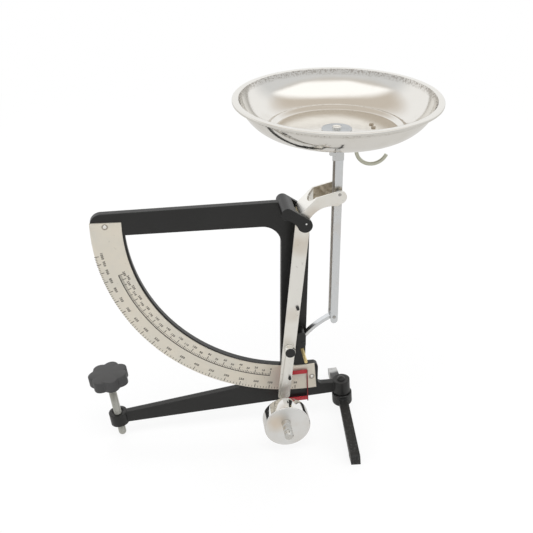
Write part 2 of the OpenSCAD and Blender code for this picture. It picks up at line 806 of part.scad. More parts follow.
module lever() {
    web_turn = atan2(web_top[1] - web_low[1], web_top[0] - web_low[0]);
    color("#d9d9d6") place() difference() {
        union() {
            slab(cheek_y0, cheek_y1) crank_outline();
            slab(-cheek_y1, -cheek_y0) {
                crank_outline();
                strip_outline();
            }
            slab(-lever_mid_y, lever_mid_y) web_outline();
        }
        // Round notch that clears the post
        translate([web_top[0], 0, web_top[1]]) rotate([0, -web_turn, 0])
            translate([notch_in, 0, -2 * lever_t]) cylinder(r = cheek_y0 - notch_side, h = 4 * lever_t);
        rod([0, 0], sleeve_d + 2 * seat, -cheek_y1 - 1, cheek_y1 + 1);
        rod(fork_xz, pin_d + 2 * seat, -cheek_y1 - 1, cheek_y1 + 1);
        rod([stud_x, -stud_z], stud_shank_d + 2 * seat, -cheek_y1 - 1, -cheek_y0 + 1);
        for (xz = [stop_low_xz, stop_high_xz]) rod(xz, stop_d + 2 * seat, -cheek_y1 - 1, -cheek_y0 + 1);
    }
}

module pivot_sleeve() {
    color("#b89a4a") place() difference() {
        rod([0, 0], sleeve_d, -cheek_y1, cheek_y1);
        rod([0, 0], pivot_d + 2 * run, -cheek_y1 - 1, cheek_y1 + 1);
    }
}

module fork_pin() {
    color("#9a9c9c") place() rod(fork_xz, pin_d, -cheek_y1, cheek_y1);
}

module range_stud() {
    color("#d0d0d0") place() {
        rod([stud_x, -stud_z], stud_shank_d, arm_y0 - slip - 0.1, -cheek_y0);
        rod([stud_x, -stud_z], stud_d, arm_y0 - slip - stud_h, arm_y0 - slip);
    }
}

module stud_cap() {
    color("#151515") place()
        rod([stud_x, -stud_z], stud_d - 0.5, arm_y0 - slip - stud_h - stud_cap_t, arm_y0 - slip - stud_h);
}

module range_stops() {
    color("#c8c8c6") place() for (xz = [stop_low_xz, stop_high_xz]) rod(xz, stop_d, arm_y0 - 0.4, -cheek_y0);
}

module pointer_arm(r, to) {
    h = pointer_h / 2;
    lean = pointer_angle - 270;
    root = [strip_x(-r), -r];
    translate([root[0], 0, root[1]]) rotate([0, -lean, 0]) translate([0, 0, -h]) linear_extrude(pointer_h)
        polygon([[0, spine_y1 - pointer_t], [joggle_start + pointer_t / 2, spine_y1 - pointer_t],
            [joggle_end + pointer_t / 2, wire_y - pointer_t / 2], [to - root[0], wire_y - pointer_t / 2],
            [to - root[0], wire_y + pointer_t / 2], [joggle_end, wire_y + pointer_t / 2],
            [joggle_start, spine_y1], [0, spine_y1]]);
}

module pointer_bracket() {
    high = wire_r0 + pointer_h / 2 + 0.4;
    low = wire_r1 - pointer_h / 2 - 0.4;
    color("#b3202a") place() difference() {
        union() {
            slab(spine_y1 - pointer_t, spine_y1) polygon([
                [strip_x(-high) - pointer_spine_w / 2, -high + pointer_h / 2],
                [strip_x(-high) + pointer_spine_w / 2, -high + pointer_h / 2],
                [strip_x(-low) + pointer_spine_w / 2, -low - pointer_h / 2],
                [strip_x(-low) - pointer_spine_w / 2, -low - pointer_h / 2]]);
            pointer_arm(high, high * wire_dir[0]);
            pointer_arm(low, low * wire_dir[0]);
        }
        wire_hole(seat);
    }
}

module wire_hole(gap) {
    translate([wire_r0 * wire_dir[0], wire_y, wire_r0 * wire_dir[1]]) rotate([0, 270 - pointer_angle, 0])
        translate([0, 0, -(wire_r1 - wire_r0)])
            cylinder(d = pointer_wire_d + 2 * gap, h = wire_r1 - wire_r0, $fn = 24);
}

module pointer_wire() {
    color("#7d1218") place() wire_hole(0);
}

module weight_arm() {
    stud = [stud_x, -stud_z];
    color("#d5d5d3") place() difference() {
        slab(arm_y0, arm_y1) {
            tangent_bar(stud, arm_w / 2, spindle_xz, arm_w / 2);
            translate(stud) circle(r = stud_d / 2);
            translate(spindle_xz) circle(r = arm_end_r);
        }
        rod(stud, stud_shank_d + 2 * run, arm_y0 - 1, arm_y1 + 1);
        rod(spindle_xz, spindle_d * 0.6 + 2 * seat, arm_y0 - 1, arm_y1 + 1);
    }
}

module weight_spindle() {
    r = spindle_d / 2;
    tip = spindle_len + drum_t + slip;
    g = spindle_len / 3;
    color("#b4b4b0") place() translate([spindle_xz[0], drum_y1 + slip, spindle_xz[1]]) rotate([90, 0, 0])
        rotate_extrude() polygon([
            [0, -collar_len - arm_t], [spindle_d * 0.3, -collar_len - arm_t], [spindle_d * 0.3, -collar_len],
            [collar_d / 2, -collar_len], [collar_d / 2, 0], [r, 0],
            [r, tip - 2 * g - groove_w / 2], [r - groove_depth, tip - 2 * g - groove_w / 4],
            [r - groove_depth, tip - 2 * g + groove_w / 4], [r, tip - 2 * g + groove_w / 2],
            [r, tip - g - groove_w / 2], [r - groove_depth, tip - g - groove_w / 4],
            [r - groove_depth, tip - g + groove_w / 4], [r, tip - g + groove_w / 2],
            [r, tip - 1], [r - 1, tip], [0, tip]]);
}

module counterweight_drum() {
    r = drum_d / 2;
    b = drum_bevel;
    color("#c9c8c4") place() difference() {
        translate([drum_xz[0], drum_y1, drum_xz[1]]) rotate([90, 0, 0]) rotate_extrude($fn = 180)
            polygon([[0, 0], [r - b, 0], [r, b], [r, drum_t - b], [r - b, drum_t], [0, drum_t]]);
        rod(spindle_xz, spindle_d + 2 * run, drum_y0 - 1, drum_y1 + 1);
    }
}

module post_outline() {
    translate([post_x0, post_link_xz[1] - post_tail + post_x / 2])
        square([post_x, post_top - post_link_xz[1] + post_tail - post_x / 2]);
    translate([fork_x, post_link_xz[1] - post_tail + post_x / 2]) circle(r = post_x / 2);
}

module pan_post() {
    inner = post_w / 2 - post_t;
    color("#d2d2d0") place() difference() {
        slab(-post_w / 2, post_w / 2) post_outline();
        // Hollow of the channel, open to the left
        translate([post_x0 - 1, -inner, -2 * post_pins])
            cube([post_x + 1 - post_t, 2 * inner, 4 * post_pins]);
        // Window in the web for the link's end
        translate([fork_x - 1, -inner, post_link_xz[1] - post_tail - 1])
            cube([post_x, 2 * inner, post_tail + link_r * 2 + 2]);
        rod(fork_xz, pin_d + 2 * run, -post_w, post_w);
        rod(post_link_xz, pin_d + 2 * seat, -post_w, post_w);
    }
}

module post_head() {
    y1 = post_w / 2 + slip / 3 + head_t;
    z0 = pan_low - head_h;
    color("#cfcfcd") place() difference() {
        union() {
            translate([head_x0, -y1, z0]) cube([head_x, 2 * y1, head_h]);
            translate([pan_x - head_flange / 2, -y1, pan_low - head_t]) cube([head_flange, 2 * y1, head_t]);
            translate([head_x0 - head_tab[0], -y1, z0 + head_tab[1]])
                cube([head_tab[0] + 0.2, 2 * y1, head_tab[2]]);
        }
        // Hollow between the two cheeks, open below and to the left
        translate([head_x0 - 3, -y1 + head_t, z0 - 1])
            cube([head_x + 6, 2 * (y1 - head_t), head_h + 1 - head_t]);
        // Slot through both cheeks
        translate([head_x0 + head_t, -y1 - past, z0 + head_h - head_slot_drop])
            cube([head_slot[0], 2 * (y1 + past), head_slot[1]]);
        translate([pan_x, 0, pan_low - head_t - 1]) cylinder(d = pan_screw_d + 2 * seat, h = head_t + 2);
    }
}

module post_link_pin() {
    color("#9a9c9c") place() rod(post_link_xz, pin_d, -post_w / 2 - 0.4, post_w / 2 + 0.4);
}

// Side of the lower link, along X from its pin in the frame
module link_side() {
    bow = [link_len / 2, link_rise - link_bow_r];
    circle(r = link_root_r);
    translate([link_len, 0]) circle(r = link_r);
    intersection() {
        translate(bow) difference() {
            circle(r = link_bow_r + link_h / 2, $fn = 240);
            circle(r = link_bow_r - link_h / 2, $fn = 240);
        }
        translate([0, -link_len / 2]) square(link_len);
    }
}

module lower_link() {
    inner = link_w / 2 - link_t;
    bow = [link_len / 2, 0, link_rise - link_bow_r];
    color("#cdcdca") place() translate([link_xz[0], 0, link_xz[1]]) rotate([0, -link_turn, 0]) difference() {
        slab(-link_w / 2, link_w / 2) link_side();
        // Hollow under the channel's top
        translate(bow) rod([0, 0], 2 * (link_bow_r + link_h / 2 - link_t), -inner, inner);
        // Slots that open both ends of the channel
        for (x = [-link_root_r - 1, link_len - link_r]) translate([x, -inner, -5])
            cube([x < 0 ? 2 * link_root_r + 1 : 2 * link_r + 1, 2 * inner, 10]);
        rod([0, 0], pin_d + 2 * run, -link_w, link_w);
        rod([link_len, 0], pin_d + 2 * slip, -link_w, link_w);
    }
}

module at_pan() {
    place() translate([pan_x, 0, pan_low]) children();
}

// Point on the inside of the pan's wall, from the step at its foot (0) to the flange (1)
function pan_wall(u) =
    let (r0 = pan_floor_r + 6.7, z0 = pan_t + 2.3, r1 = pan_r - flange_w, z1 = pan_t + pan_depth)
    [r0 + (r1 - r0) * (pan_bulge * sin(90 * u) + (1 - pan_bulge) * u),
        z1 - (z1 - z0) * (pan_bulge * cos(90 * u) + (1 - pan_bulge) * (1 - u))];

module pan() {
    steps = 10;
    top = pan_t + pan_depth;
    floor_edge = [[0, pan_t], [pan_floor_r, pan_t], [pan_floor_r + 2.6, pan_t + 0.8],
        [pan_floor_r + 4.8, pan_t + 1.9]];
    wall = [for (i = [0 : steps]) pan_wall(i / steps)];
    inside = concat(floor_edge, wall, [[pan_r - 0.8, top], [pan_r, top - 0.8]]);
    outside = [for (p = inside) p + [p[0] > pan_floor_r + 1 ? pan_t * 0.7 : 0, -pan_t * 0.9]];
    n = len(inside);
    color("#d8d6d1") at_pan() difference() {
        rotate_extrude($fn = 180) polygon(concat(
            [[0, 0], [pan_floor_r + 0.4, 0]],
            [for (i = [2 : n - 3]) outside[i]],
            [[pan_r - flange_w + 1, top - pan_t], [pan_r - pan_t - 0.6, top - pan_t],
                [pan_r - pan_t, top - pan_t - 0.6], [pan_r - pan_t, top - lip_h], [pan_r, top - lip_h]],
            [for (i = [n - 1 : -1 : 0]) inside[i]]));
        translate([0, 0, -1]) cylinder(d = pan_screw_d + 2 * seat, h = pan_t + 2);
        for (y = [-1, 1] * strap_rivets / 2) translate([hook_x, strap_back + y, -1])
            cylinder(d = rivet_d + 2 * seat, h = 3);
    }
}

module pan_disc() {
    color("#a9a7a2") at_pan() translate([0, 0, pan_t]) difference() {
        cylinder(d = pan_disc_d, h = pan_disc_t);
        translate([0, 0, -1]) cylinder(d = pan_screw_d + 2 * seat, h = pan_disc_t + 2);
    }
}

module pan_screw() {
    low = -head_t - pan_nut_h - 0.5;
    color("silver") at_pan() difference() {
        union() {
            translate([0, 0, low]) cylinder(d = pan_screw_d, h = pan_t + pan_disc_t - low + 0.2);
            translate([0, 0, pan_t + pan_disc_t]) cylinder(d = pan_screw_d * 1.6, h = screw_head_h);
        }
        translate([-pan_screw_d, -screw_slot_w / 2, pan_t + pan_disc_t + screw_head_h / 2])
            cube([2 * pan_screw_d, screw_slot_w, screw_head_h]);
    }
}

module pan_nut() {
    color("silver") at_pan() translate([0, 0, -head_t - pan_nut_h]) difference() {
        cylinder(d = 7 / cos(30), h = pan_nut_h, $fn = 6);
        translate([0, 0, -1]) cylinder(d = pan_screw_d + 2 * seat, h = pan_nut_h + 2);
    }
}

module hook_strap() {
    color("#bdbdba") place() difference() {
        translate([strap_x0, strap_back - strap_w / 2, pan_low - strap_t])
            cube([strap_x1 - strap_x0, strap_w, strap_t]);
        for (y = [-1, 1] * strap_rivets / 2)
            translate([pan_x + hook_x, strap_back + y, pan_low - strap_t - 1])
                cylinder(d = rivet_d + 2 * seat, h = strap_t + 2);
    }
}

module hook_rivets() {
    color("#9c9a96") at_pan() for (y = [-1, 1] * strap_rivets / 2) translate([hook_x, strap_back + y, 0]) {
        translate([0, 0, -strap_t - 0.6]) cylinder(d = rivet_d, h = pan_t + strap_t + 1);
        translate([0, 0, pan_t]) cylinder(d = rivet_head_d, h = 0.8);
        translate([0, 0, -strap_t - 0.8]) cylinder(d = rivet_head_d, h = 0.8);
    }
}

module pan_hook() {
    color("#c4c2bc") place() translate([pan_x + hook_x, 0, hook_z]) {
        rotate([90, 0, 0]) rotate_extrude(angle = 90 + hook_sweep, start = 180)
            translate([hook_r, 0]) circle(d = hook_wire, $fn = 32);
        translate([-hook_r, 0, 0]) cylinder(d = hook_wire, h = hook_drop - strap_t, $fn = 32);
    }
}

frame_casting();
main_pivot_pin();
link_pivot_pin();
brass_stop_pin();
scale_plate();
scale_rivets();
swivel_bolt();
swivel_washer();
swivel_nut();
cross_foot();
levelling_screw();
star_knob();
lever();
pivot_sleeve();
fork_pin();
range_stud();
stud_cap();
range_stops();
pointer_bracket();
pointer_wire();
weight_arm();
weight_spindle();
counterweight_drum();
pan_post();
post_head();
post_link_pin();
lower_link();
pan();
pan_disc();
pan_screw();
pan_nut();
hook_strap();
hook_rivets();
pan_hook();
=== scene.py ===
import json
import math

import bmesh
import bpy
from mathutils import Matrix, Vector


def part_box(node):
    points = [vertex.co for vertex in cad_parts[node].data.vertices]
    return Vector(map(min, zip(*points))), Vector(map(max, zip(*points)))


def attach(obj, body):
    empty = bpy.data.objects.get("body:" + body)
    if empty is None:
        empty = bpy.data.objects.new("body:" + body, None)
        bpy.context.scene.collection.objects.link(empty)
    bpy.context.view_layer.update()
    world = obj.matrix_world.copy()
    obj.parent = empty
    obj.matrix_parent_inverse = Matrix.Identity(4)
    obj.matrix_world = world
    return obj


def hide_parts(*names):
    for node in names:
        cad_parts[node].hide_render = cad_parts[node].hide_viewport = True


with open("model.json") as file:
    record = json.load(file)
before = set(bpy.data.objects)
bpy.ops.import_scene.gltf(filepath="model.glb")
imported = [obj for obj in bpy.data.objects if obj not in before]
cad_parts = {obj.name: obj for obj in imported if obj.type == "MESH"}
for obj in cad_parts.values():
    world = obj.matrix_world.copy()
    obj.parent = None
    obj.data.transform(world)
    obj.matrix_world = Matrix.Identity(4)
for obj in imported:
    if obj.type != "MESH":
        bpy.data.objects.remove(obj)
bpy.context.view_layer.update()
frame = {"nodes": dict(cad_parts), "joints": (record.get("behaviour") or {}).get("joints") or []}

nodes = frame["nodes"]
mm = 0.001
print("lever balance: frame loaded,", len(nodes), "nodes")


def middle(node):
    low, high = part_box(node)
    return (low + high) / 2


def jointAxis(name):
    return Vector(next(j["axis"] for j in frame["joints"] if j["name"] == name)).normalized()


pivot = middle("main_pivot_pin")
right, up, away = Vector((1, 0, 0)), Vector((0, 0, 1)), Vector((0, 1, 0))


class Socket:
    # an output of a shader tree; sums written on it become Math nodes
    def __init__(self, finish, plug):
        self.finish = finish
        self.plug = plug

    def sum(self, operation, first, second):
        return self.finish.maths(operation, first, second)

    def __add__(self, other):
        return self.sum("ADD", self, other)

    def __radd__(self, other):
        return self.sum("ADD", other, self)

    def __sub__(self, other):
        return self.sum("SUBTRACT", self, other)

    def __rsub__(self, other):
        return self.sum("SUBTRACT", other, self)

    def __mul__(self, other):
        return self.sum("MULTIPLY", self, other)

    def __rmul__(self, other):
        return self.sum("MULTIPLY", other, self)

    def __truediv__(self, other):
        return self.sum("DIVIDE", self, other)

    def __rtruediv__(self, other):
        return self.sum("DIVIDE", other, self)


class Finish:
    # one material, or the world, while it is being put together
    def __init__(self, name, library=bpy.data.materials):
        self.made = library.new(name)
        self.made.use_nodes = True
        self.tree = self.made.node_tree
        self.tree.nodes.clear()

    def node(self, kind, settings, sockets, out=0):
        # adds any node: its type, its settings, then the values or links of its sockets
        made = self.tree.nodes.new(kind)
        for key, value in settings.items():
            setattr(made, key, value)
        for key, value in sockets.items():
            if isinstance(value, Socket):
                self.tree.links.new(value.plug, made.inputs[key])
            else:
                made.inputs[key].default_value = value
        return Socket(self, made.outputs[out]) if len(made.outputs) else None

    def place(self):
        # position on the piece, in metres, riding with it
        return self.node("ShaderNodeTexCoord", {}, {}, "Object")

    def stretched(self, scale):
        return self.vectors("MULTIPLY", self.place(), scale)

    def noise(self, scale, detail=2.0, rough=0.5, where=None):
        return self.node("ShaderNodeTexNoise", {}, {
            "Vector": where or self.place(), "Scale": scale, "Detail": detail, "Roughness": rough})

    def band(self, value, low, high):
        # 0 below low, 1 above high, smooth between
        return self.node("ShaderNodeMapRange", {"interpolation_type": "SMOOTHSTEP"}, {
            "Value": value, "From Min": low, "From Max": high})

    def blendColours(self, share, first, second):
        one, two = [c if isinstance(c, Socket) else (*c, 1) for c in (first, second)]
        return self.node("ShaderNodeMix", {"data_type": "RGBA"}, {0: share, 6: one, 7: two}, 2)

    def roundedNormal(self, radius):
        return self.node("ShaderNodeBevel", {"samples": 6}, {"Radius": radius})

    def edges(self, rounded):
        # how far the rounded normal leans away from the flat one: high along the edges
        flat = self.node("ShaderNodeNewGeometry", {}, {}, "Normal")
        return 1 - self.vectors("DOT_PRODUCT", rounded, flat, "Value")

    def bump(self, height, distance, strength=1.0, normal=None):
        sockets = {"Height": height, "Distance": distance, "Strength": strength}
        if normal:
            sockets["Normal"] = normal
        return self.node("ShaderNodeBump", {}, sockets)

    def maths(self, operation, first, second=0.0):
        return self.node("ShaderNodeMath", {"operation": operation}, {0: first, 1: second})

    def vectors(self, operation, first, second, out=0):
        return self.node("ShaderNodeVectorMath", {"operation": operation}, {0: first, 1: second}, out)

    def rays(self, *kinds):
        # 1 for rays of any of these kinds
        total = 0.0
        for kind in kinds:
            total = self.node("ShaderNodeLightPath", {}, {}, "Is " + kind + " Ray") + total
        return self.maths("MINIMUM", total, 1.0)

    def axes(self, where=None):
        where = where or self.place()
        return [self.node("ShaderNodeSeparateXYZ", {}, {0: where}, axis) for axis in "XYZ"]

    def within(self, low, high, soft):
        # 1 inside a box with corners low and high, 0 outside it
        mask = 1.0
        for place, least, most in zip(self.axes(), low, high):
            above = self.band(place, least - soft, least + soft)
            mask = above * self.band(place, most + soft, most - soft) * mask
        return mask

    def near(self, spot, inner, outer):
        # 1 within inner of a point, 0 beyond outer
        return self.band(self.vectors("DISTANCE", self.place(), tuple(spot), "Value"), outer, inner)

    def shade(self, sockets):
        return self.close(self.node("ShaderNodeBsdfPrincipled", {}, sockets))

    def close(self, surface, output="ShaderNodeOutputMaterial"):
        self.node(output, {}, {"Surface": surface})
        return self.made


def radiusFrom(finish, centre, axis):
    # distance from a line through centre along x, y or z, for turned and spun metal
    spot = finish.vectors("SUBTRACT", finish.place(), tuple(centre))
    keep = tuple(0.0 if i == axis else 1.0 for i in range(3))
    flat = finish.vectors("MULTIPLY", spot, keep)
    return finish.node("ShaderNodeVectorMath", {"operation": "LENGTH"}, {0: flat}, "Value")


def ringLines(finish, radius, spacing, drift=0.15):
    # fine circular tool marks: noise read along the radius alone, which wanders a little
    along = finish.node("ShaderNodeCombineXYZ", {}, {"X": radius / spacing})
    marks = finish.noise(1.0, 3.0, 0.6, along)
    return marks + drift * (finish.noise(90.0) - 0.5)


enamelLook = {
    "colour": (0.0095, 0.0095, 0.0092), "worn": (0.050, 0.050, 0.050), "edgeWearAndHighlight": 0.35, "cloudiness": 1.5,
    "roughness": 0.36, "gloss": 0.45, "cloud": 38.0, "grain": 620.0, "pits": 260.0, "ripple": 90.0,
    "grainHeight": 0.00008, "edge": 0.0011,
}


def blackEnamel(name, look, roughCast=0.0):
    f = Finish(name)
    rounded = f.roundedNormal(look["edge"])
    cloud = f.noise(look["cloud"], 4.0)
    grain = f.noise(look["grain"], 3.0, 0.6)
    pits = f.band(f.noise(look["pits"]), 0.60, 0.72)
    lighter = tuple(look["cloudiness"] * c for c in look["colour"])
    colour = f.blendColours(f.band(cloud, 0.3, 0.75) * 0.5, look["colour"], lighter)
    # lighter along the rounded edges: worn enamel with a painted highlight; on rough cast also lighter on
    # the grain's peaks
    wear = f.band(f.edges(rounded), 0.04, 0.35) * look["edgeWearAndHighlight"] + roughCast * f.band(grain, 0.5, 0.8)
    colour = f.blendColours(wear, colour, look["worn"])
    if "palePatch" in look:
        # a paler grey patch round one given place
        palePatch = look["palePatch"]
        nearPatch = f.near(palePatch["at"], palePatch["inner"] * mm, palePatch["outer"] * mm)
        patch = nearPatch * f.band(f.noise(palePatch["grain"], 3.0), 0.20, 0.40)
        colour = f.blendColours(patch, colour, palePatch["colour"])
    return f.shade({
        "Base Color": colour, "Specular IOR Level": look["gloss"],
        "Roughness": look["roughness"] + 0.12 * (cloud - 0.5) + 0.10 * (grain - 0.5),
        "Normal": f.bump(grain + 0.6 * f.noise(look["ripple"]) - 0.7 * pits, look["grainHeight"], 0.8,
                         rounded),
    })


nickelLook = {
    "colour": (0.80, 0.785, 0.735), "stain": (0.74, 0.66, 0.55), "speckShade": 0.45, "metal": 1.0,
    "roughness": 0.13, "patches": 30.0, "specks": 420.0, "waves": 55.0,
    "grain": (520.0, 520.0, 40.0), "height": 0.000012, "edge": 0.0005,
}


def plated(name, stainAmount=0.5, warm=(), shadedHollow=None, **changes):
    # plated metal, like plain nickel but for the changes; warm lists small stains, each with its
    # place, inner and outer radius in millimetres, colour and strength
    look = {**nickelLook, **changes}
    f = Finish(name)
    rounded = f.roundedNormal(look["edge"])
    lines = f.noise(1.0, 4.0, 0.65, f.stretched(look["grain"]))
    patches = f.band(f.noise(look["patches"], 4.0, 0.6), 0.48, 0.74)
    specks = f.band(f.noise(look["specks"]), 0.66, 0.74)
    colour = f.blendColours(patches * stainAmount, look["colour"], look["stain"])
    colour = f.blendColours(specks * 0.25, colour, tuple(look["speckShade"] * c for c in look["stain"]))
    for spot, inner, outer, tint, amount in warm:
        mottle = 0.6 + 0.6 * f.noise(150.0, 3.0)
        colour = f.blendColours(f.near(spot, inner * mm, outer * mm) * mottle * amount, colour, tint)
    # painted shade and reflection: darker colour along the edges
    if "edgeColour" in look:
        colour = f.blendColours(f.band(f.edges(rounded), 0.03, 0.20) * 0.8, colour, look["edgeColour"])
    metal = look["metal"]
    roughness = look["roughness"] + 0.10 * (lines - 0.5) + 0.10 * patches + 0.12 * specks
    if shadedHollow:
        # painted shade and reflection inside a folded strip: darker mottled brown colour, with duller,
        # rougher metal
        hollowShade = f.within(*shadedHollow["box"], shadedHollow["soft"])
        mottle = f.band(f.noise(shadedHollow["grain"], 4.0, 0.65), 0.30, 0.70)
        colour = f.blendColours(hollowShade, colour, f.blendColours(mottle, shadedHollow["dark"], shadedHollow["light"]))
        metal = metal - shadedHollow["dull"] * hollowShade
        roughness = roughness + shadedHollow["rougher"] * hollowShade
    return f.shade({
        "Base Color": colour, "Metallic": metal, "Roughness": roughness,
        "Normal": f.bump(lines + 0.8 * f.noise(look["waves"]), look["height"], 1.0, rounded),
    })


turnedLook = {
    "roughness": 0.34, "spread": 0.20, "lineSpacing": 0.00045, "patches": 42.0, "height": 0.00001,
    "edge": 0.0003,
}


def turnedMetal(name, look, centre, axis, warm=None):
    f = Finish(name)
    rounded = f.roundedNormal(look["edge"])
    marks = ringLines(f, radiusFrom(f, centre, axis), look["lineSpacing"])
    patches = f.band(f.noise(look["patches"], 3.0, 0.6), 0.45, 0.75)
    colour = f.blendColours(patches * 0.45, look["colour"], look["stain"])
    if warm:
        mark = f.near(warm["at"], warm["inner"] * mm, warm["outer"] * mm)
        colour = f.blendColours(mark * warm["strength"], colour, warm["colour"])
    return f.shade({
        "Base Color": colour, "Metallic": 1.0,
        "Roughness": look["roughness"] + look["spread"] * (marks - 0.5) + 0.08 * patches,
        "Normal": f.bump(marks, look["height"], 1.0, rounded),
    })


paintLook = {"runs": 170.0, "chips": 500.0, "dust": 900.0}


def paint(name, look):
    f = Finish(name)
    look = {**paintLook, **look}
    rounded = f.roundedNormal(look["edge"])
    runs = f.noise(look["runs"], 3.0)
    wear = f.band(f.edges(rounded), 0.10, 0.45) * f.band(f.noise(look["chips"]), 0.45, 0.6)
    coat = f.blendColours(runs, look["colour"], look["second"])
    return f.shade({
        "Base Color": f.blendColours(wear * look["wear"], coat, look["under"]),
        "Roughness": look["roughness"] + 0.15 * (runs - 0.5), "Coat Weight": look["coat"],
        "Normal": f.bump(runs + 0.3 * f.noise(look["dust"]), look["height"], 1.0, rounded),
    })


enamel = blackEnamel("blackEnamel", enamelLook)
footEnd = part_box("cross_foot")[1].y
castEnamel = blackEnamel("roughCastEnamel", {
    **enamelLook, "worn": (0.105, 0.105, 0.103), "roughness": 0.42, "grainHeight": 0.00020,
    "palePatch": {"at": (middle("cross_foot").x, footEnd - 0.004, 0.007), "inner": 6.5, "outer": 13.5,
             "grain": 120.0, "colour": (0.50, 0.50, 0.49)},
}, 0.65)
blackened = blackEnamel("blackenedSteel", {
    **enamelLook, "roughness": 0.33, "edge": 0.0004, "grainHeight": 0.00003})

paleNickel = {"colour": (0.95, 0.935, 0.89), "stain": (0.86, 0.79, 0.68)}
tanStain = (0.62, 0.50, 0.37)
# painted shade and reflection inside the lever's fold
leverShadedHollow = {
    "box": [pivot + Vector((0.009, -0.0091, 0.003)), pivot + Vector((0.034, 0.0091, 0.0262))],
    "soft": 0.0001, "dark": (0.32, 0.26, 0.18), "light": (0.74, 0.67, 0.55), "grain": 260.0,
    "dull": 0.55, "rougher": 0.30,
}
postLow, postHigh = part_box("pan_post")
# painted shade and reflection inside the pan post's channel
postShadedHollow = {
    "box": [Vector((postLow.x - 0.004, -0.0042, postLow.z - 0.004)),
            Vector((postHigh.x - 0.0005, 0.0042, postHigh.z + 0.004))],
    "soft": 0.0001, "dark": (0.30, 0.25, 0.19), "light": (0.62, 0.54, 0.43), "grain": 260.0,
    "dull": 0.7, "rougher": 0.30,
}
nickel = plated("nickelPlate")
stripNickel = plated("stripNickel", 0.6, [
    (pivot + Vector((-0.004, -0.0105, -0.020)), 2.0, 12.0, tanStain, 0.45),
    (pivot + Vector((0.006, -0.0105, 0.006)), 2.0, 9.0, tanStain, 0.40),
    (pivot + Vector((-0.010, -0.0105, -0.080)), 2.0, 10.0, tanStain, 0.30),
], leverShadedHollow, **paleNickel, roughness=0.33)
armNickel = plated("armNickel", 0.6, **paleNickel, roughness=0.30)
# the link's edges get painted shade and reflection
linkNickel = plated("linkNickel", 0.3, colour=(0.74, 0.76, 0.78), roughness=0.22,
                    edgeColour=(0.22, 0.21, 0.20), edge=0.0004)
postNickel = plated("postNickel", 0.4, shadedHollow=postShadedHollow, colour=(0.76, 0.78, 0.80), roughness=0.24)
headNickel = plated("headNickel", 0.7, colour=(0.70, 0.71, 0.71), roughness=0.26)
hookSteel = plated("hookSteel", 0.6, colour=(0.60, 0.60, 0.50), stain=(0.46, 0.44, 0.34),
                   roughness=0.30, edge=0.0002)
pinSteel = plated("pinSteel", colour=(0.46, 0.45, 0.43), stain=(0.30, 0.28, 0.25), roughness=0.27,
                  edge=0.0002)
zinc = plated("zincPlate", 0.9, colour=(0.50, 0.50, 0.46), stain=(0.30, 0.28, 0.23), roughness=0.36,
              grain=(300.0, 300.0, 300.0), edge=0.0001)
brass = plated("brassRod", colour=(0.86, 0.70, 0.34), stain=(0.72, 0.56, 0.26), roughness=0.50,
               grain=(900.0, 90.0, 900.0), edge=0.0002, metal=0.6)
rivetMetal = plated("rivetMetal", **paleNickel, roughness=0.25, edge=0.0002)
panRivets = plated("panRivets", 0.8, colour=(0.46, 0.40, 0.32), stain=(0.30, 0.24, 0.18),
                   roughness=0.35, edge=0.0002)
# dark pin with a bright dot in the middle of its front end
pinFront = Vector((pivot.x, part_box("main_pivot_pin")[0].y, pivot.z))
pinEnd = plated("pinEnd", 0.5, [(pinFront, 0.55, 0.75, (0.9, 0.9, 0.88), 0.9)], metal=0.2,
                colour=(0.035, 0.035, 0.035), stain=(0.05, 0.05, 0.05), roughness=0.35, edge=0.0002)
discMetal = turnedMetal("greyDisc", {
    **turnedLook, "colour": (0.58, 0.61, 0.64), "stain": (0.50, 0.52, 0.54), "edge": 0.0002,
}, middle("pan_disc"), 2)
spindleMetal = turnedMetal("spindleSteel", {
    **turnedLook, "colour": (0.66, 0.65, 0.62), "stain": (0.55, 0.51, 0.45), "roughness": 0.24,
}, middle("weight_spindle"), 1)

redPaint = paint("redPaint", {
    "colour": (0.50, 0.012, 0.024), "second": (0.40, 0.008, 0.016), "under": (0.35, 0.30, 0.28),
    "wear": 0.5, "roughness": 0.30, "coat": 0.35, "height": 0.00002, "edge": 0.0002})
darkRed = paint("darkRedPaint", {
    "colour": (0.23, 0.006, 0.012), "second": (0.16, 0.005, 0.009), "under": (0.20, 0.10, 0.10),
    "wear": 0.3, "roughness": 0.4, "coat": 0.1, "height": 0.00001, "edge": 0.0001})
knobPlastic = paint("knobPlastic", {
    "colour": (0.040, 0.040, 0.041), "second": (0.052, 0.052, 0.052), "under": (0.12, 0.12, 0.12),
    "wear": 0.15, "roughness": 0.50, "coat": 0.0, "height": 0.00004, "edge": 0.0003})
print("lever balance: finishes made")


def skin(name, rings, sharp, loop=False):
    # joins rings of points into one surface; a ring of one point closes an end
    shape = bmesh.new()
    rows = [[shape.verts.new(p) for p in ring] for ring in rings]
    pairs = list(zip(rows, rows[1:])) + ([(rows[-1], rows[0])] if loop else [])
    for low, high in pairs:
        many = max(len(low), len(high))
        for i in range(many):
            j = (i + 1) % many
            if len(low) == 1:
                shape.faces.new((low[0], high[j], high[i]))
            elif len(high) == 1:
                shape.faces.new((low[i], low[j], high[0]))
            else:
                shape.faces.new((low[i], low[j], high[j], high[i]))
    bmesh.ops.recalc_face_normals(shape, faces=shape.faces)
    return solid(name, shape, sharp)


def solid(name, shape, sharp=50):
    data = bpy.data.meshes.new(name)
    shape.to_mesh(data)
    shape.free()
    for face in data.polygons:
        face.use_smooth = True
    data.set_sharp_from_angle(angle=math.radians(sharp))
    piece = bpy.data.objects.new(name, data)
    bpy.context.scene.collection.objects.link(piece)
    return piece


def turner(centre, axis, side):
    # returns a function that gives the point at a radius, an angle and a height along the axis
    other = axis.cross(side)
    return lambda r, turn, s: centre + axis * s + (side * math.cos(turn) + other * math.sin(turn)) * r


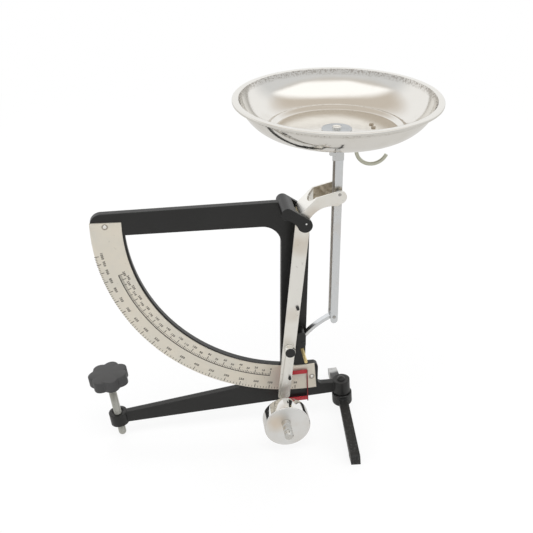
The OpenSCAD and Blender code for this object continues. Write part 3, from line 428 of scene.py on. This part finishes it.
def turnsOf(columns):
    return [math.tau * i / columns for i in range(columns)]


def quarter(radius, *degrees):
    # steps round a quarter circle that starts level: how far along it is and how far up
    turns = [math.radians(a) for a in degrees]
    return [(radius * math.sin(t), radius * (1 - math.cos(t))) for t in turns]


def dress(piece, finish, body, slot, *replaced):
    piece.data.materials.append(finish)
    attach(piece, body)
    if replaced:
        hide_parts(*replaced)
    return piece


def reach(node, centre, axis):
    # lowest and highest place of a node along an axis, and its widest radius round it
    low, high, wide = 1e9, -1e9, 0.0
    for v in nodes[node].data.vertices:
        s = (v.co - centre).dot(axis)
        low, high = min(low, s), max(high, s)
        wide = max(wide, (v.co - centre - axis * s).length)
    return low, high, wide


panLook = {
    # in millimetres: the sheet, the floor, the ramp and the step round it, the wall and the flange
    "sheet": 0.6, "flat": 12, "dip": (30, 0.02), "floorRadius": 43.5,
    "rampWidth": 4.8, "rampRise": 1.9, "rampCurve": 1.6, "rampSteps": 6,
    "stepRadius": 50.2, "stepRise": 2.3, "stepEase": (1.0, 0.15), "wallSteps": 32, "bulge": 0.6,
    "flange": 4.7, "flangeRows": (0.5, 1.2, 2.3), "rimRound": 0.8, "lip": 1.8, "columns": 288,
    "colour": (0.82, 0.80, 0.76), "flangeColour": (0.78, 0.765, 0.72), "smear": (0.70, 0.67, 0.61),
    "grime": (0.24, 0.20, 0.16), "scuff": (0.22, 0.17, 0.12), "roughness": 0.085,
    "lineSpacing": 0.0007, "lineDrift": 0.05, "smears": 46.0, "crumbs": 800.0,
    "dents": 24.0, "waves": 140.0, "dentHeight": 0.00022, "edge": 0.0003,
    # where each shade starts and where it is full, as radii in millimetres
    "floorTo": (44.0, 43.0), "flangeFrom": (70.0, 71.2), "grimeFrom": (68.4, 69.8), "grimeTo": (71.0, 70.2),
    "scuffFrom": (70.0, 70.4),
    # the scuffs' lower and upper ends, in millimetres below the rim
    "scuffLow": (6.6, 5.6), "scuffHigh": (3.0, 3.8), "scuffsAround": 42.0, "scuffsUp": 90.0,
}


def panProfile(look, high, rim):
    # inside of the pan from its middle out to the lip, as radius and height in millimetres
    t, floorRadius, stepRadius, bend = look["sheet"], look["floorRadius"], look["stepRadius"], look["bulge"]
    inside = [(0, t), (look["flat"], t), (look["dip"][0], t + look["dip"][1]), (floorRadius - 1, t)]
    for i in range(look["rampSteps"]):
        u = (i + 1) / look["rampSteps"]
        inside.append((floorRadius + look["rampWidth"] * u, t + look["rampRise"] * u ** look["rampCurve"]))
    inside.append((stepRadius - look["stepEase"][0], t + look["stepRise"] - look["stepEase"][1]))
    wallTop = rim - look["flange"]
    wallRun, wallRise = wallTop - stepRadius, high - t - look["stepRise"]
    for i in range(look["wallSteps"] + 1):
        u = i / look["wallSteps"]
        across = bend * math.sin(math.pi / 2 * u) + (1 - bend) * u
        below = bend * math.cos(math.pi / 2 * u) + (1 - bend) * (1 - u)
        inside.append((stepRadius + wallRun * across, high - wallRise * below))
    corner = look["rimRound"]
    inside += [(wallTop + out, high) for out in look["flangeRows"]] + [(rim - corner, high)]
    bends = quarter(corner, 72, 60, 48, 36, 24, 12, 0)
    inside += [(rim - rise, high - corner + along) for along, rise in bends]
    return inside + [(rim, high - look["lip"])]


def panFinish(look, centre, rimHeight):
    f = Finish("spunStainless")
    radius = radiusFrom(f, centre, 2)

    def ring(key):
        return f.band(radius, *[r * mm for r in look[key]])

    marks = ringLines(f, radius, look["lineSpacing"], look["lineDrift"])
    dents = f.noise(look["dents"], 3.0, 0.55)
    smears = f.band(f.noise(look["smears"], 4.0, 0.6), 0.5, 0.75)
    crumbs = f.band(f.noise(look["crumbs"], 3.0), 0.44, 0.62)
    grime = ring("grimeFrom") * ring("grimeTo") * (0.25 + 0.75 * crumbs)
    # short upright scuffs on the outside, just under the lip
    x, y, z = f.axes()
    turn = f.maths("ARCTAN2", y - centre.y, x - centre.x)
    comb = f.node("ShaderNodeCombineXYZ", {}, {
        "X": turn * look["scuffsAround"], "Y": z * look["scuffsUp"]})
    scuffs = f.band(f.noise(1.0, 1.0, 0.5, comb), 0.56, 0.66) * ring("scuffFrom")
    for key in ("scuffLow", "scuffHigh"):
        scuffs = scuffs * f.band(z, *[rimHeight - drop * mm for drop in look[key]])
    colour = f.blendColours(smears * 0.30, look["colour"], look["smear"])
    colour = f.blendColours(ring("flangeFrom") * 0.5, colour, look["flangeColour"])
    colour = f.blendColours(grime * 0.55, colour, look["grime"])
    colour = f.blendColours(scuffs * 0.5, colour, look["scuff"])
    wear = 0.05 * ring("floorTo") + 0.05 * smears + 0.25 * grime + 0.04 * (marks - 0.5)
    return f.shade({
        "Base Color": colour, "Metallic": 1.0, "Roughness": look["roughness"] + wear,
        "Normal": f.bump(0.05 * marks + dents + 0.12 * f.noise(look["waves"]), look["dentHeight"], 1.0,
                         f.roundedNormal(look["edge"])),
    })


def makePan(look):
    low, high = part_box("pan")
    centre = Vector(((low.x + high.x) / 2, (low.y + high.y) / 2, low.z))
    rim, depth = (high.x - low.x) / 2 / mm, (high.z - low.z) / mm
    inside = panProfile(look, depth, rim)
    outside = []
    for i, (r, s) in enumerate(inside):
        before, after = inside[max(i - 1, 0)], inside[min(i + 1, len(inside) - 1)]
        run = Vector((after[0] - before[0], after[1] - before[1])).normalized()
        outside.append((max(r + run.y * look["sheet"], 0), max(s - run.x * look["sheet"], 0)))
    outside[-1] = (rim - look["sheet"], depth - look["lip"])
    at = turner(centre, up, right)
    turns = turnsOf(look["columns"])
    profile = inside[1:] + outside[:0:-1]  # without the two points on the axis
    rings = [[at(r * mm, turn, s * mm) for turn in turns] for r, s in profile]
    rings = [[centre + up * inside[0][1] * mm]] + rings + [[centre + up * outside[0][1] * mm]]
    piece = skin("panBowl", rings, 60)
    return dress(piece, panFinish(look, centre, high.z), "post", "stainless", "pan")


makePan(panLook)
print("lever balance: pan spun")


screwAxis = jointAxis("knob_turn")
screwSide = away.cross(screwAxis)
screwMiddle = middle("levelling_screw")  # the middle of the screw's box lies on its axis

knobLook = {
    "lobes": 7, "firstLobe": 180, "valley": 0.85, "fullness": 0.56, "foot": 1.1, "edge": 1.1, "crown": 0.5,
    "columns": 210, "dish": 0.2,
    # rings on the underside, as shares of the lobes' reach, and on the crown, with their drop
    "under": (0.24, 0.6, 0.85), "top": ((0.84, 0.85), (0.7, 0.5), (0.45, 0.18), (0.2, 0.03)),
}


def makeKnob(look):
    low, high, wide = reach("star_knob", screwMiddle, screwAxis)
    at = turner(screwMiddle, screwAxis, screwSide)
    crown, edge, foot = look["crown"] * mm, look["edge"] * mm, look["foot"] * mm

    def lobe(turn):
        wave = 0.5 + 0.5 * math.cos(look["lobes"] * (turn - math.radians(look["firstLobe"])))
        return wide * (look["valley"] + (1 - look["valley"]) * wave ** look["fullness"])

    # each row: share of the lobes' reach, inset from it and height along the axis
    rows = [(share, 0, low) for share in look["under"]]
    rows += [(1, foot - along, low + rise) for along, rise in quarter(foot, 0, 22, 45, 67, 90)]
    shoulder = high - crown - edge
    rows += [(1, rise, shoulder + along) for along, rise in quarter(edge, 0, 15, 30, 45, 60, 75, 88)]
    rows += [(share, 0, high - crown * drop) for share, drop in look["top"]]
    turns = turnsOf(look["columns"])
    rings = [[screwMiddle + screwAxis * (low + look["dish"] * mm)]]
    rings += [[at(share * lobe(turn) - inset, turn, s) for turn in turns] for share, inset, s in rows]
    rings += [[screwMiddle + screwAxis * high]]
    return dress(skin("starKnob", rings, 70), knobPlastic, "knob", "knob", "star_knob")


threadLook = {
    "pitch": 1.0, "depth": 0.4116, "skim": 0.01, "flank": 2.6, "blank": 1.2,
    "rowsPerTurn": 8, "columns": 30,
}


def makeScrew(look):
    low, high, wide = reach("levelling_screw", screwMiddle, screwAxis)
    at = turner(screwMiddle, screwAxis, screwSide)
    pitch, depth, turns = look["pitch"] * mm, look["depth"] * mm, turnsOf(look["columns"])
    rings = [[screwMiddle + screwAxis * low]]  # the rounded tip, then the thread row by row
    for along, rise in quarter(wide, 20, 40, 60, 75):
        rings.append([at(along, turn, low + rise) for turn in turns])
    start, rowHeight = low + wide, pitch / look["rowsPerTurn"]
    steps = int((high - start) / rowHeight)
    for k in range(steps + 1):
        s = start + k * rowHeight
        fade = min(1.0, k * rowHeight / (look["blank"] * mm))
        ring = []
        for i, turn in enumerate(turns):
            phase = (s / pitch - i / look["columns"]) % 1.0
            crest = min(1.0, abs(phase - 0.5) * look["flank"])
            ring.append(at(wide - look["skim"] * mm - depth * fade * (1 - crest), turn, s))
        rings.append(ring)
    rings.append([screwMiddle + screwAxis * (start + steps * rowHeight)])
    return dress(skin("levellingScrew", rings, 80), zinc, "screw", "zinc", "levelling_screw")


makeKnob(knobLook)
makeScrew(threadLook)
print("lever balance: knob and screw made")


drumLook = {
    **turnedLook, "bevel": 0.8, "land": 0.8, "columns": 200, "bore": 3.56,
    "colour": (0.88, 0.88, 0.87), "stain": (0.80, 0.75, 0.68), "roughness": 0.40, "height": 0.000020,
    "mark": {"shift": (-0.007, 0.001), "inner": 2.0, "outer": 12.0, "strength": 0.6,
             "colour": (0.80, 0.66, 0.50)},
    "side": {"colour": (0.82, 0.81, 0.79), "roughness": 0.06, "grain": (60.0, 700.0, 60.0),
             "height": 0.000006},
}


def makeDrum(look):
    low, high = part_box("counterweight_drum")
    centre = (low + high) / 2
    spindle = middle("weight_spindle")  # the bore, off the drum's own centre
    wide = (high.x - low.x) / 2
    bore, bevel, land = look["bore"] * mm, look["bevel"] * mm, look["land"] * mm
    turns = turnsOf(look["columns"])

    def circle(about, r, y):
        base = Vector((about.x, y, about.z))
        return [base + Vector((math.cos(turn), 0, math.sin(turn))) * r for turn in turns]

    inner = wide - bevel
    steps = quarter(bevel, 0, 18, 36, 54, 72, 90)
    rings = [circle(spindle, bore, low.y), circle(centre, inner - land, low.y)]
    rings += [circle(centre, inner + along, low.y + rise) for along, rise in steps]
    rings += [circle(centre, inner + along, high.y - rise) for along, rise in reversed(steps)]
    rings += [circle(centre, inner - land, high.y), circle(spindle, bore, high.y)]
    piece = skin("counterweightDrum", rings, 40, loop=True)
    mark = look["mark"]
    spot = (spindle.x + mark["shift"][0], low.y, spindle.z + mark["shift"][1])
    face = turnedMetal("drumFaced", look, centre, 1, {**mark, "at": spot})
    dress(piece, face, "drum", "polished", "counterweight_drum")
    piece.data.materials.append(plated("drumPolished", 0.25, **look["side"]))
    for polygon in piece.data.polygons:
        out = polygon.center - centre
        if math.hypot(out.x, out.z) > wide - bevel * 1.05:
            polygon.material_index = 1  # the bevels and the side
    return piece


makeDrum(drumLook)
print("lever balance: drum turned")


scaleLook = {
    "ink": (0.030, 0.026, 0.020), "lift": 0.03, "bow": 35.8,
    "outer": {"full": 684.0, "tilt": -0.4, "zero": 0.0, "from": 50, "to": 1000, "fine": 10, "coarse": 50,
              "edge": 159.2, "fineLength": 1.7, "coarseLength": 3.4, "numeral": 2.55, "numeralAt": 153.3},
    "inner": {"full": 243.0, "tilt": 0.0, "zero": 12.0, "from": 0, "to": 250, "fine": 2, "coarse": 10,
              "edge": 146.2, "fineLength": 1.7, "coarseLength": 2.5, "longLength": 4.0, "numeral": 2.35,
              "numeralAt": 141.9, "longAt": 140.2},
    "thin": 0.36, "thick": 0.55, "line": 0.70, "lineShort": 0.1, "lineSteps": 90, "start": 272.0,
    "bold": 0.042, "digitStep": 0.60, "digitMiddle": 0.36,
    "faded": (0.085, 0.075, 0.06), "fade": 350.0, "height": 0.000004,
}


def swingFor(load, law, bow):
    # angle of the lever, in degrees from its empty place, that balances a load in grams
    def value(t):
        return math.sin(math.radians(law["tilt"] + t)) / math.cos(math.radians(bow - t))

    low, high = law["zero"] - 1.0, 89.0
    for _ in range(48):  # halves the range until it is too small to matter
        mid = (low + high) / 2
        if law["full"] * (value(mid) - value(law["zero"])) < load:
            low = mid
        else:
            high = mid
    return (low + high) / 2


def digitShapes(bold):
    # flat meshes of the ten digits, one unit high, from the program's own font
    shapes = []
    for n in range(10):
        curve = bpy.data.curves.new("digit", "FONT")
        curve.body, curve.align_x, curve.resolution_u, curve.offset = str(n), "CENTER", 3, bold
        holder = bpy.data.objects.new("digit", curve)
        bpy.context.scene.collection.objects.link(holder)
        bpy.context.view_layer.update()
        data = holder.to_mesh()
        shapes.append(([v.co.copy() for v in data.vertices], [tuple(p.vertices) for p in data.polygons]))
        holder.to_mesh_clear()
        bpy.data.objects.remove(holder)
        bpy.data.curves.remove(curve)
    return shapes


def makeScales(look):
    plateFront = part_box("scale_plate")[0].y - look["lift"] * mm
    shape = bmesh.new()

    def at(r, degrees, along=0.0):
        t = math.radians(degrees)
        spot = Vector((math.cos(t), 0, math.sin(t))) * r + Vector((-math.sin(t), 0, math.cos(t))) * along
        return Vector((pivot.x, plateFront, pivot.z)) + spot * mm

    def stroke(degrees, r0, r1, width):
        half = width / 2
        corners = ((r0, -half), (r1, -half), (r1, half), (r0, half))
        shape.faces.new([shape.verts.new(at(r, degrees, s)) for r, s in corners])

    def arcLine(r, first, last, width):
        rows = []
        for i in range(look["lineSteps"] + 1):
            degrees = first + (last - first) * i / look["lineSteps"]
            rows.append([shape.verts.new(at(r + side, degrees)) for side in (-width / 2, width / 2)])
        for one, two in zip(rows, rows[1:]):
            shape.faces.new((one[0], one[1], two[1], two[0]))

    digits = digitShapes(look["bold"])

    def numeral(text, degrees, r, size):
        for k, letter in enumerate(text):
            shift = (k - (len(text) - 1) / 2) * look["digitStep"]
            points, faces = digits[int(letter)]
            made = []
            for p in points:
                rise, along = (p.y - look["digitMiddle"]) * size, (shift + p.x) * size
                made.append(shape.verts.new(at(r - rise, degrees, along)))
            for face in faces:
                shape.faces.new([made[i] for i in face])

    for law in (look["outer"], look["inner"]):
        isInner, edge = "longAt" in law, law["edge"]
        for load in range(law["from"], law["to"] + 1, law["fine"]):
            degrees = look["start"] - swingFor(load, law, look["bow"])
            if load % law["coarse"]:
                stroke(degrees, edge, edge - law["fineLength"], look["thin"])
                continue
            isLong = isInner and load % (2 * law["coarse"]) == 0
            length = law["longLength"] if isLong or (isInner and load == law["to"]) else law["coarseLength"]
            stroke(degrees, edge, edge - length, look["thick"])
            numeral(str(load), degrees, law["longAt"] if isLong else law["numeralAt"], law["numeral"])
    inner, short = look["inner"], look["lineShort"]
    first, last = [look["start"] - swingFor(inner[key], inner, look["bow"]) for key in ("from", "to")]
    arcLine(inner["edge"] + look["line"] / 2, first + short, last - short, look["line"])
    bmesh.ops.recalc_face_normals(shape, faces=shape.faces)
    for face in shape.faces:
        if face.normal.y > 0:
            face.normal_flip()
    piece = solid("scalePrint", shape)
    f = Finish("scaleInk")
    fade = f.noise(look["fade"], 3.0)
    ink = f.shade({"Base Color": f.blendColours(fade, look["ink"], look["faded"]),
                   "Roughness": 0.45 + 0.2 * fade, "Normal": f.bump(fade, look["height"])})
    return dress(piece, ink, "frame", "dial")


makeScales(scaleLook)


plateLook = {
    "colour": (0.75, 0.695, 0.595), "cool": (0.69, 0.66, 0.585), "mark": (0.40, 0.36, 0.30), "metal": 0.45,
    "roughness": 0.36, "rivetShade": (0.16, 0.13, 0.10), "rivetShadeRadius": 1.75, "rivetShadeFade": 2.9,
    "grain": (60.0, 60.0, 900.0), "patches": 26.0, "spots": 330.0, "rivetShadeGrain": 600.0, "waves": 70.0,
    "height": 0.000012, "edge": 0.0003,
}


def rivetSpots():
    # the plate's two rivets, told apart by the side of the frame that they are on
    halfway, plateFront = middle("scale_rivets").x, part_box("scale_plate")[0].y
    spots = []
    for isRight in (False, True):
        rivet = [v.co for v in nodes["scale_rivets"].data.vertices if (v.co.x > halfway) == isRight]
        x, z = [(min(row) + max(row)) / 2 for row in ([c.x for c in rivet], [c.z for c in rivet])]
        spots.append(Vector((x, plateFront, z)))
    return spots


def plateFinish(look):
    f = Finish("etchedPlate")
    rounded = f.roundedNormal(look["edge"])
    rolled = f.noise(1.0, 4.0, 0.6, f.stretched(look["grain"]))
    patches = f.band(f.noise(look["patches"], 4.0, 0.6), 0.35, 0.7)
    spots = f.band(f.noise(look["spots"]), 0.66, 0.74)
    colour = f.blendColours(patches, look["colour"], look["cool"])
    colour = f.blendColours(spots * 0.35, colour, look["mark"])
    for spot in rivetSpots():
        # painted shadow: a dark ring in the gap round each rivet
        rivetShade = f.near(spot, look["rivetShadeRadius"] * mm, look["rivetShadeFade"] * mm)
        colour = f.blendColours(rivetShade * (0.5 + 0.5 * f.noise(look["rivetShadeGrain"])), colour, look["rivetShade"])
    return f.shade({
        "Base Color": colour, "Metallic": look["metal"],
        "Roughness": look["roughness"] + 0.14 * (rolled - 0.5) + 0.08 * patches,
        "Normal": f.bump(rolled + 0.6 * f.noise(look["waves"]), look["height"], 1.0, rounded),
    })


plate = plateFinish(plateLook)
print("lever balance: scales printed")


partFinishes = {
    "frame_casting": enamel, "cross_foot": castEnamel, "swivel_bolt": blackened,
    "main_pivot_pin": pinEnd, "link_pivot_pin": blackened, "brass_stop_pin": brass,
    "scale_plate": plate, "scale_rivets": rivetMetal, "swivel_washer": zinc, "swivel_nut": zinc,
    "lever": stripNickel, "pivot_sleeve": brass, "fork_pin": pinSteel, "range_stud": nickel,
    "stud_cap": blackened, "range_stops": blackened, "pointer_bracket": redPaint, "pointer_wire": darkRed,
    "weight_arm": armNickel, "weight_spindle": spindleMetal, "pan_post": postNickel,
    "post_head": headNickel, "post_link_pin": pinSteel, "lower_link": linkNickel,
    "pan_disc": discMetal, "pan_screw": rivetMetal, "pan_nut": zinc,
    "hook_strap": pinSteel, "hook_rivets": panRivets, "pan_hook": hookSteel,
}
for name, finish in partFinishes.items():
    for slot in nodes[name].material_slots:
        slot.material = finish
print("lever balance: parts finished")


studioLook = {
    "overhead": (0.67, 0.61, 0.54), "sides": (0.74, 0.75, 0.76), "ambient": 0.60,
    "sidesFrom": (0.45, -0.05), "overheadFrom": (0.50, 0.82),
    "softbox": {"across": 0.10, "back": -0.43, "halfWidth": 0.95, "flare": 0.75, "halfDepth": 0.52,
                "soft": 0.20, "lowest": 0.05, "shownFrom": (0.1, 0.3), "light": 1.25},
    "boxes": [
        {"name": "overheadBox", "at": (0.0, -0.55, 1.55), "size": (1.15, 0.80), "power": 9.0},
        {"name": "backBox", "at": (0.1, 1.5, 0.95), "size": (1.8, 0.7), "power": 12.0},
        {"name": "leftBox", "at": (-1.5, -0.6, 0.9), "size": (0.6, 0.9), "power": 6.0},
        {"name": "rightBox", "at": (1.5, -0.2, 1.0), "size": (0.5, 0.9), "power": 4.0},
    ],
    "aim": (0.0, 0.0, 0.16),
    "floor": {"size": 4.0, "colour": (0.94, 0.94, 0.94), "second": (0.88, 0.88, 0.88), "grain": 300.0,
              "shown": 0.84, "fadeFrom": 0.35, "fadeTo": 1.0, "mirrored": 0.85,
              "mirroredColour": (0.66, 0.65, 0.63)},
}


def makeWorld(look):
    # what shiny metal mirrors: a white back, grey sides, a warm ceiling and a soft box of light in it
    f = Finish("studioWorld", bpy.data.worlds)
    x, y, z = f.axes(f.node("ShaderNodeTexCoord", {}, {}, "Generated"))
    walls = f.blendColours(f.band(y, *look["sidesFrom"]), (1, 1, 1), look["sides"])
    room = f.blendColours(f.band(z, *look["overheadFrom"]), walls, look["overhead"])
    # the soft box lies on a level plane overhead and is wider at its back than at its front
    box = look["softbox"]
    soft, height = box["soft"], f.maths("MAXIMUM", z, box["lowest"])
    behind = y / height - box["back"]
    beside = f.maths("ABSOLUTE", x / height - box["across"]) - (box["halfWidth"] + box["flare"] * behind)
    inside = f.band(beside, soft, -soft) * f.band(z, *box["shownFrom"])
    inside = inside * f.band(f.maths("ABSOLUTE", behind), box["halfDepth"] + soft, box["halfDepth"] - soft)
    room = f.blendColours(inside, room, (box["light"],) * 3)
    shown = f.blendColours(f.rays("Glossy", "Transmission"), (look["ambient"],) * 3, room)
    shown = f.blendColours(f.rays("Camera"), shown, (1, 1, 1))
    surface = f.node("ShaderNodeBackground", {}, {"Color": shown, "Strength": 1.0})
    bpy.context.scene.world = f.close(surface, "ShaderNodeOutputWorld")


def makeFloor(look):
    shape = bmesh.new()
    bmesh.ops.create_grid(shape, x_segments=8, y_segments=8, size=look["size"])
    floor = solid("studioFloor", shape)
    f = Finish("paleFloor")
    grain = f.noise(look["grain"])
    matt = f.node("ShaderNodeBsdfDiffuse", {}, {
        "Color": f.blendColours(grain * 0.1, look["colour"], look["second"]),
        "Normal": f.bump(grain, 0.00002)})
    mirrored = f.rays("Glossy", "Transmission")
    glow = f.node("ShaderNodeEmission", {}, {
        "Color": f.blendColours(mirrored, (1, 1, 1), look["mirroredColour"]), "Strength": 1.0})
    # away from the object, and so from its shadow, the floor fades into the white behind it
    far = 1 - f.near((0, 0, 0), look["fadeFrom"], look["fadeTo"])
    shown = look["shown"] + (1 - look["shown"]) * far
    share = f.rays("Camera") * shown + mirrored * look["mirrored"]
    floor.data.materials.append(f.close(f.node("ShaderNodeMixShader", {}, {0: share, 1: matt, 2: glow})))


def makeLights(look):
    for box in look["boxes"]:
        lamp = bpy.data.lights.new(box["name"], "AREA")
        lamp.shape, lamp.size, lamp.size_y = "RECTANGLE", *box["size"]
        lamp.energy = box["power"]
        holder = bpy.data.objects.new(box["name"], lamp)
        holder.location = box["at"]
        holder.rotation_euler = (Vector(look["aim"]) - holder.location).to_track_quat("-Z", "Y").to_euler()
        holder.visible_glossy = False  # the world already shows metal its soft box
        bpy.context.scene.collection.objects.link(holder)


cameraLook = {
    "at": (-0.07282, -0.62864, 0.49205), "lens": 63.35, "film": 36.0, "clip": (0.01, 20.0),
    "right": (0.9913, -0.1312, -0.0046), "up": (0.066, 0.4675, 0.8816),
}


def makeCamera(look):
    data = bpy.data.cameras.new("photoCamera")
    data.lens, data.sensor_width, data.sensor_fit = look["lens"], look["film"], "HORIZONTAL"
    data.clip_start, data.clip_end = look["clip"]
    holder = bpy.data.objects.new("photoCamera", data)
    x = Vector(look["right"]).normalized()
    y = Vector(look["up"])
    y = (y - x * y.dot(x)).normalized()
    z = x.cross(y)
    holder.matrix_world = Matrix.Translation(look["at"]) @ Matrix((x, y, z)).transposed().to_4x4()
    bpy.context.scene.collection.objects.link(holder)
    bpy.context.scene.camera = holder


makeWorld(studioLook)
makeFloor(studioLook["floor"])
makeLights(studioLook)
makeCamera(cameraLook)
bpy.context.scene.view_settings.view_transform = "Standard"
print("lever balance: studio ready")
